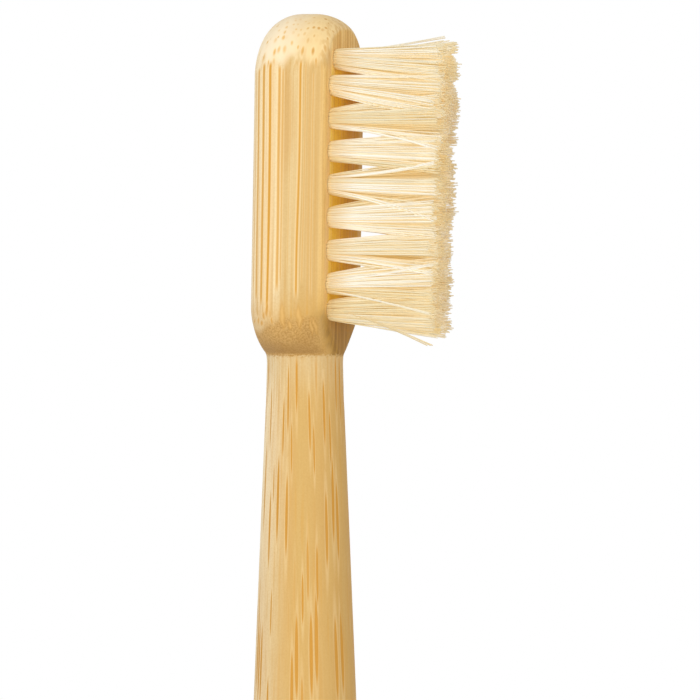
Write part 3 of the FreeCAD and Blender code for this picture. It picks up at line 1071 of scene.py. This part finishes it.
def shoulder_colour(nodes, wood, colour):
    """Lays the shoulder over a colour: cut across the fibres and sanded less, so browner, with wavy contours.
    The brown is also painted shade where the shoulder turns down, darkest where it faces down.

    Returns the colour with how rough the wood is there.
    """
    top = nodes.ramp(wood.x, BROWN_DEPTH, *BROWN_TOPS)
    uneven = nodes.scaled(wood.patchy, BROWN_RAGGED, wood.height)
    under = nodes.times(nodes.ramp(nodes.math("SUBTRACT", uneven, top), BROWN_FADE), wood.on_shoulder,
                        nodes.without(wood.forward))
    swirl = nodes.noise(wood.whole, SWIRL_SCALE / MM, detail=1.0)
    level = nodes.scaled(swirl, SWIRL_REACH, nodes.times(wood.z, CONTOURS_PER_MM))
    contour = nodes.ramp(nodes.math("PINGPONG", level, 0.5), CONTOUR_WIDTH)
    brown = nodes.blend(nodes.ramp(wood.grit, BROWN_SPOTS), BROWN_PALE, BROWN_DARK)
    brown = nodes.tint(brown, CONTOUR_BROWN, contour, nodes.ramp(wood.grit, ROUGH_SPOTS, *CONTOUR_SHARES))
    # Painted shade: darker where the shoulder faces down.
    brown = nodes.tint(brown, UNDERSIDE_PAINTED_SHADE, nodes.ramp(wood.upward, UNDERSIDE), UNDERSIDE_SHADE_SHARE)
    colour = nodes.tint(colour, brown, under, BROWN_SHARE)
    flank = nodes.times(nodes.ramp(wood.sideward, FLANK_FACING), wood.on_shoulder)
    wavering = nodes.scaled(wood.patchy, MARK_WAVER, nodes.math("SUBTRACT", wood.x, MARK_WAVER / 2))
    for places, rim_colour, rim_share, core_colour, core_share in (
            (DROPS, DROP_RIM, DROP_RIM_SHARE, DROP_AMBER, DROP_SHARE),
            (FLARES, FLARE_RIM, FLARE_RIM_SHARE, FLARE_GOLD, FLARE_SHARE)):
        core, rim = marks(nodes, places, wavering, wood.height)
        colour = nodes.tint(colour, rim_colour, rim, flank, rim_share)
        colour = nodes.tint(colour, core_colour, core, flank, core_share)
    rough = nodes.times(under, nodes.scaled(contour, CONTOUR_RELIEF, wood.grit))
    return colour, rough


def bamboo_material():
    nodes = Nodes(bpy.data.materials.new("bamboo"))
    wood = wood_place(nodes)
    add_noises(nodes, wood)
    add_zones(nodes, wood)
    colour = base_colour(nodes, wood)
    colour, line = grain_colour(nodes, wood, colour)
    colour, rough = shoulder_colour(nodes, wood, colour)
    roughness = nodes.ramp(wood.grit, ROUGH_SPOTS, *WOOD_ROUGHNESS)
    relief = nodes.scaled(wood.fine, FINE_RELIEF, nodes.times(line, LINE_RELIEF))
    relief = nodes.scaled(rough, ROUGH_RELIEF, relief)
    bump = {"Height": relief, "Strength": RELIEF_STRENGTH, "Distance": RELIEF_DEPTH}
    nodes.feed(nodes.surface, {
        "Base Color": colour, "Roughness": roughness, "Specular IOR Level": WOOD_SPECULAR,
        "Normal": nodes.add("Bump", bump)})
    return nodes.owner


def bristle_material():
    """Thin pale filaments that let most lamplight through.

    Painted golden shade at the root and deep in the tuft, painted light at the mouth, and tan tips, darker in
    the far columns as painted shade.
    """
    nodes = Nodes(bpy.data.materials.new("bristle_filament"))
    tone, along, inside = [nodes.add("Attribute", output="Fac", attribute_name=name)
                           for name in ("tone", "along", "inside")]
    y = nodes.parts(nodes.add("TexCoord", output="Object"))[1]
    colour = nodes.blend(nodes.ramp(tone, CREAM_TONES), HAIR_WHITE, HAIR_CREAM)
    # Tones over 1 are painted shade.
    colour = nodes.tint(colour, HAIR_SHADED_TAN, nodes.ramp(tone, SHADED_TONES))
    # Painted golden shade deep inside the tuft.
    colour = nodes.tint(colour, HAIR_DEEP_SHADE, nodes.ramp(inside, DEEP_HAIRS), DEEP_SHADE_SHARE)
    colour = nodes.tint(colour, HAIR_OUTER, nodes.ramp(along, OUTER_SPAN), OUTER_SHARE,
                        nodes.ramp(tone, EVEN_TONES))
    # Painted golden shade towards the root.
    colour = nodes.tint(colour, HAIR_ROOT_SHADE, nodes.ramp(along, ROOT_SPAN), ROOT_SHADE_SHARE)
    # Painted light at the mouth, against the shade there.
    colour = nodes.tint(colour, HAIR_MOUTH_LIGHT, nodes.ramp(along, MOUTH_SPAN), MOUTH_LIGHT_SHARE)
    # Tan tips, more so in the far columns as painted shade.
    colour = nodes.tint(colour, HAIR_TIP_TAN_AND_SHADE, nodes.ramp(along, TIP_SPAN), nodes.ramp(y, FAR_TIP_SHADE, *TIP_TAN_AND_SHADE_SHARES))
    nodes.feed(nodes.surface, {
        "Base Color": colour, "Roughness": HAIR_ROUGHNESS, "Specular IOR Level": HAIR_SPECULAR})
    passed = nodes.add("BsdfTransparent", {"Color": HAIR_LIGHT})
    shadow = nodes.add("LightPath", output="Is Shadow Ray")
    share = nodes.times(shadow, HAIR_LIGHT_SHARE)
    both = nodes.add("MixShader", {0: share, 1: nodes.surface.outputs[0], 2: passed})
    nodes.feed(nodes.tree.nodes["Material Output"], {"Surface": both})
    return nodes.owner


def anchor_material():
    nodes = Nodes(bpy.data.materials.new("anchor_wire"))
    place = nodes.add("TexCoord", output="Object")
    grain = nodes.noise(place, WIRE_GRAIN_SCALE / MM, detail=3.0)
    nodes.feed(nodes.surface, {
        "Base Color": nodes.blend(grain, WIRE_PALE, WIRE_DARK), "Metallic": 1.0,
        "Roughness": nodes.scaled(grain, WIRE_ROUGHNESS_RANGE, WIRE_ROUGHNESS)})
    return nodes.owner


# Surroundings

def add_floor():
    half = FLOOR_SIDE / 2
    corners = [(-half, -half, 0), (half, -half, 0), (half, half, 0), (-half, half, 0)]
    mesh = bpy.data.meshes.new("floor")
    mesh.from_pydata(corners, [], [(0, 1, 2, 3)])
    floor = add_object("floor", mesh)
    nodes = Nodes(bpy.data.materials.new("floor"))
    nodes.feed(nodes.surface, {"Base Color": FLOOR_WHITE, "Roughness": FLOOR_ROUGHNESS})
    mesh.materials.append(nodes.owner)


def add_world():
    """White behind the object for the eye and for reflections, and an even fill for everything else."""
    nodes = Nodes(bpy.data.worlds.new("studio"))
    scene.world = nodes.owner
    path = nodes.outputs("LightPath")
    seen = nodes.highest(path["Is Camera Ray"], path["Is Glossy Ray"], path["Is Transmission Ray"])
    strength = nodes.add("MapRange", {"Value": seen, "To Min": AMBIENT, "To Max": 1.0})
    nodes.feed(nodes.tree.nodes["Background"], {"Color": (1, 1, 1, 1), "Strength": strength})


View = namedtuple("View", "target right up forward")


def photo_view():
    """The point in the middle of the photo, and its directions to the right, up and away from the viewer."""
    right = Vector((math.cos(VIEW_AZIMUTH), math.sin(VIEW_AZIMUTH), 0))
    forward = Vector((-math.sin(VIEW_AZIMUTH), math.cos(VIEW_AZIMUTH), 0))
    up = Vector((0, 0, 1))
    half = PHOTO_SIZE / 2
    target = right * ((half - NECK_PIXEL_X) / PIXELS_PER_METRE)
    target += up * (OVERALL_LENGTH - (half - TOP_PIXEL_Y) / PIXELS_PER_METRE)
    return View(target, right, up, forward)


def add_aimed(name, data, place, direction):
    """A lamp or camera at a place, looking in a direction."""
    thing = add_object(name, data)
    thing.location = place
    thing.rotation_mode = "QUATERNION"
    thing.rotation_quaternion = direction.to_track_quat("-Z", "Y")
    return thing


def add_camera(view):
    camera = bpy.data.cameras.new("camera")
    camera.sensor_width = SENSOR_WIDTH
    camera.lens = SENSOR_WIDTH * VIEW_DISTANCE * PIXELS_PER_METRE / PHOTO_SIZE
    camera.clip_start = CLIP_START
    place = view.target - view.forward * VIEW_DISTANCE
    scene.camera = add_aimed("camera", camera, place, view.forward)


def add_lamps(view):
    for lamp in LAMPS:
        light = bpy.data.lights.new(lamp.name, "AREA")
        light.size = lamp.size
        light.energy = lamp.power
        place = view.target + view.right * lamp.right + view.up * lamp.up - view.forward * lamp.nearer
        add_aimed(lamp.name, light, place, view.target - place)


layout = tuft_layout()
bamboo = bamboo_material()
bristle = bristle_material()
anchor = anchor_material()

handle = make_handle([(tuft.y, tuft.z) for tuft in layout])
handle.data.materials.clear()
handle.data.materials.append(bamboo)
near_y = min(tuft.y for tuft in layout)
for number, tuft in enumerate(layout):
    piece = make_tuft(number, tuft, near_y)
    piece.data.materials.append(bristle)
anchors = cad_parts["tuft_anchors"]
anchors.data.materials.clear()
anchors.data.materials.append(anchor)

view = photo_view()
add_floor()
add_world()
add_camera(view)
add_lamps(view)
scene.view_settings.view_transform = "Standard"
scene.cycles.transparent_max_bounces = TRANSPARENT_BOUNCES
scene.cycles.max_bounces = BOUNCES
scene.cycles.diffuse_bounces = DIFFUSE_BOUNCES
